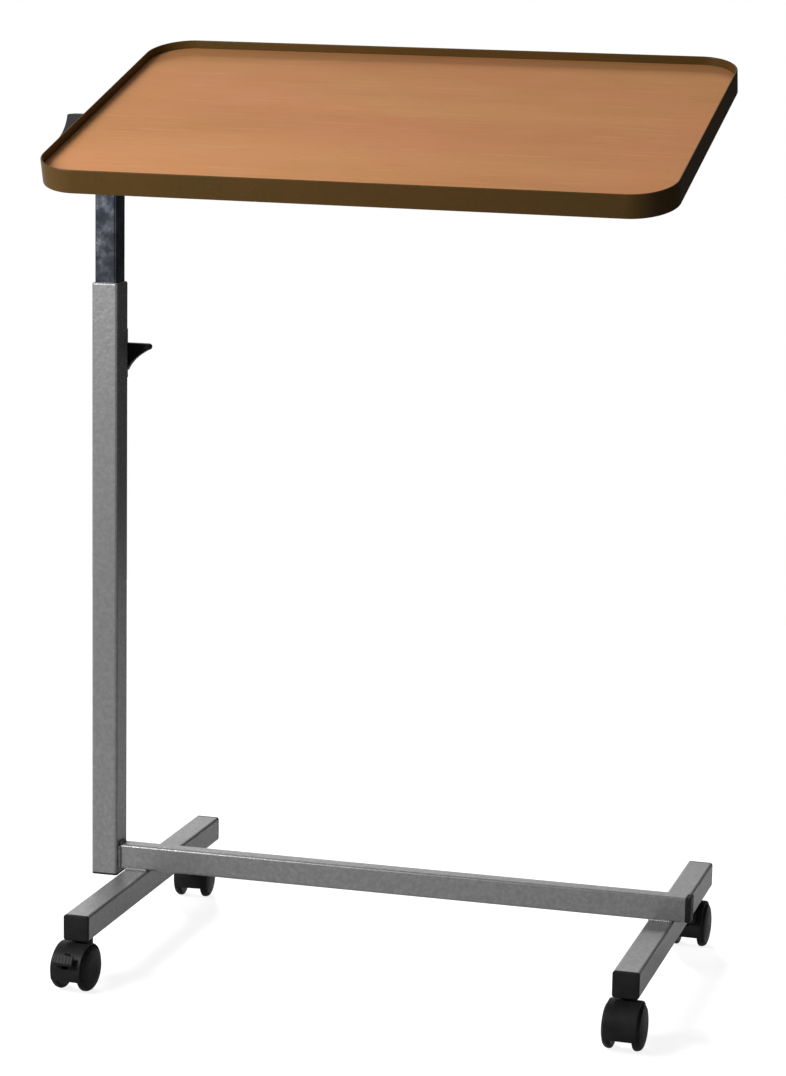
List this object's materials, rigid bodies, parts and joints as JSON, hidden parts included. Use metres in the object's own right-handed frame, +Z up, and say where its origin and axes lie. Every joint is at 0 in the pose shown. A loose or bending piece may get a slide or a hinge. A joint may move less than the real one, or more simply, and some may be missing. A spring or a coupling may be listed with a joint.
{
  "type": "overbed table",
  "caption": "Mobile overbed table: tilting rectangular tray top with a raised edging, held at one end by a telescopic mast on an H-shaped base with castors.",
  "frame": {"origin": "middle of the footprint box, on the floor under the wheels", "axes": "+Z up, +X from the mast towards the free end of the top, +Y towards the back, away from the front edge that tilts down"},
  "size_m": [0.653, 0.409, 0.8957],
  "materials": {
    "hammered_grey": "hammered grey enamel, semi-gloss",
    "chrome": "chromed steel, mirror bright with slight clouding",
    "zinc": "zinc-plated steel",
    "black_nylon": "moulded black nylon, satin",
    "black_cap": "moulded black polyethylene, satin",
    "wheel_nylon": "hard black nylon tread, satin",
    "white_nylon": "natural nylon",
    "beech_laminate": "beech-pattern melamine laminate on chipboard, satin",
    "bronze_edging": "bronze-brown moulded edging, semi-gloss"
  },
  "bodies": {
    "frame": {"rail": "hammered_grey", "rail_end_cap": "black_cap", "leg_left": "hammered_grey", "leg_right": "hammered_grey", "leg_cap_front_left": "black_cap", "leg_cap_back_left": "black_cap", "leg_cap_front_right": "black_cap", "leg_cap_back_right": "black_cap", "outer_mast": "hammered_grey", "upper_guide_liner": "white_nylon", "mast_foot_plug": "black_cap", "trigger_housing": "black_nylon", "brake_shoe_spring": "zinc", "castor_stem_front_left": "zinc", "castor_stem_front_right": "zinc", "castor_stem_back_left": "zinc", "castor_stem_back_right": "zinc"},
    "carriage": {"inner_mast": "chrome", "lower_guide": "white_nylon", "head": "black_nylon", "head_cross_pin": "zinc", "arm_bush_left": "white_nylon", "arm_bush_right": "white_nylon", "tilt_lever_pin": "zinc", "tilt_lever_spring": "zinc"},
    "tray": {"table_board": "beech_laminate", "board_edging": "bronze_edging", "support_arm": "chrome", "arm_end_cap": "black_cap", "index_disc": "zinc", "arm_bracket_left": "zinc", "arm_bracket_right": "zinc", "bracket_screw_left_front": "zinc", "bracket_screw_left_back": "zinc", "bracket_screw_right_front": "zinc", "bracket_screw_right_back": "zinc"},
    "tilt_lever": {"tilt_lever": "black_nylon", "tilt_pawl": "zinc"},
    "height_trigger": {"height_trigger": "black_nylon"},
    "brake_shoe": {"brake_shoe": "zinc", "brake_shoe_nut": "zinc"},
    "castor_front_left": {"castor_hood_front_left": "black_nylon", "castor_axle_front_left": "zinc"},
    "wheel_left_front_left": {"castor_wheel_left_front_left": "wheel_nylon"},
    "wheel_right_front_left": {"castor_wheel_right_front_left": "wheel_nylon"},
    "brake_front_left": {"brake_pedal_front_left": "black_nylon"},
    "castor_front_right": {"castor_hood_front_right": "black_nylon", "castor_axle_front_right": "zinc"},
    "wheel_left_front_right": {"castor_wheel_left_front_right": "wheel_nylon"},
    "wheel_right_front_right": {"castor_wheel_right_front_right": "wheel_nylon"},
    "castor_back_left": {"castor_hood_back_left": "black_nylon", "castor_axle_back_left": "zinc"},
    "wheel_left_back_left": {"castor_wheel_left_back_left": "wheel_nylon"},
    "wheel_right_back_left": {"castor_wheel_right_back_left": "wheel_nylon"},
    "castor_back_right": {"castor_hood_back_right": "black_nylon", "castor_axle_back_right": "zinc"},
    "wheel_left_back_right": {"castor_wheel_left_back_right": "wheel_nylon"},
    "wheel_right_back_right": {"castor_wheel_right_back_right": "wheel_nylon"},
    "brake_back_right": {"brake_pedal_back_right": "black_nylon"}
  },
  "joints": [
    {"name": "height_slide", "type": "slide", "parent": "frame", "child": "carriage", "axis": [0, 0, 1], "range_m": [-0.085, 0.23]},
    {"name": "tray_tilt", "type": "hinge", "parent": "carriage", "child": "tray", "pos_m": [-0.269, -0.00616, 0.7933], "axis": [1, 0, -0.0096], "range_deg": [-18, 27]},
    {"name": "tilt_lever_pull", "type": "hinge", "parent": "carriage", "child": "tilt_lever", "pos_m": [-0.3032, -0.00616, 0.77263], "axis": [0, 1, 0], "range_deg": [0, 6], "stiffness_Nm_per_rad": 0.3, "springref_deg": -8.59},
    {"name": "height_trigger_lift", "type": "hinge", "parent": "frame", "child": "height_trigger", "pos_m": [-0.269, 0.01834, 0.59], "axis": [0, -1, 0], "range_deg": [0, 12], "stiffness_Nm_per_rad": 0.1, "springref_deg": -8.59},
    {"name": "brake_shoe_release", "type": "slide", "parent": "frame", "child": "brake_shoe", "axis": [0, 1, 0], "range_m": [0, 0.001]},
    {"name": "castor_swivel_front_left", "type": "hinge", "parent": "frame", "child": "castor_front_left", "pos_m": [-0.237, -0.15336, 0.044], "axis": [0, 0, 1], "continuous": true},
    {"name": "wheel_spin_left_front_left", "type": "hinge", "parent": "castor_front_left", "child": "wheel_left_front_left", "pos_m": [-0.23883, -0.17428, 0.022], "axis": [0.9962, -0.0872, 0], "continuous": true},
    {"name": "wheel_spin_right_front_left", "type": "hinge", "parent": "castor_front_left", "child": "wheel_right_front_left", "pos_m": [-0.23883, -0.17428, 0.022], "axis": [0.9962, -0.0872, 0], "continuous": true},
    {"name": "brake_press_front_left", "type": "hinge", "parent": "castor_front_left", "child": "brake_front_left", "pos_m": [-0.23996, -0.18723, 0.032], "axis": [0.9962, -0.0872, 0], "range_deg": [0, 15]},
    {"name": "castor_swivel_front_right", "type": "hinge", "parent": "frame", "child": "castor_front_right", "pos_m": [0.2975, -0.15336, 0.044], "axis": [0, 0, 1], "continuous": true},
    {"name": "wheel_spin_left_front_right", "type": "hinge", "parent": "castor_front_right", "child": "wheel_left_front_right", "pos_m": [0.29713, -0.17436, 0.022], "axis": [0.9998, -0.0175, 0], "continuous": true},
    {"name": "wheel_spin_right_front_right", "type": "hinge", "parent": "castor_front_right", "child": "wheel_right_front_right", "pos_m": [0.29713, -0.17436, 0.022], "axis": [0.9998, -0.0175, 0], "continuous": true},
    {"name": "castor_swivel_back_left", "type": "hinge", "parent": "frame", "child": "castor_back_left", "pos_m": [-0.237, 0.17854, 0.044], "axis": [0, 0, 1], "continuous": true},
    {"name": "wheel_spin_left_back_left", "type": "hinge", "parent": "castor_back_left", "child": "wheel_left_back_left", "pos_m": [-0.23517, 0.15762, 0.022], "axis": [0.9962, 0.0872, 0], "continuous": true},
    {"name": "wheel_spin_right_back_left", "type": "hinge", "parent": "castor_back_left", "child": "wheel_right_back_left", "pos_m": [-0.23517, 0.15762, 0.022], "axis": [0.9962, 0.0872, 0], "continuous": true},
    {"name": "castor_swivel_back_right", "type": "hinge", "parent": "frame", "child": "castor_back_right", "pos_m": [0.2975, 0.17854, 0.044], "axis": [0, 0, 1], "continuous": true},
    {"name": "wheel_spin_left_back_right", "type": "hinge", "parent": "castor_back_right", "child": "wheel_left_back_right", "pos_m": [0.29713, 0.15754, 0.022], "axis": [0.9998, -0.0175, 0], "continuous": true},
    {"name": "wheel_spin_right_back_right", "type": "hinge", "parent": "castor_back_right", "child": "wheel_right_back_right", "pos_m": [0.29713, 0.15754, 0.022], "axis": [0.9998, -0.0175, 0], "continuous": true},
    {"name": "brake_press_back_right", "type": "hinge", "parent": "castor_back_right", "child": "brake_back_right", "pos_m": [0.2969, 0.14455, 0.032], "axis": [0.9998, -0.0175, 0], "range_deg": [0, 15]}
  ],
  "couplings": [
    {"joint": "brake_shoe_release", "follows": "height_trigger_lift", "m_per_rad": 0.00477}
  ]
}
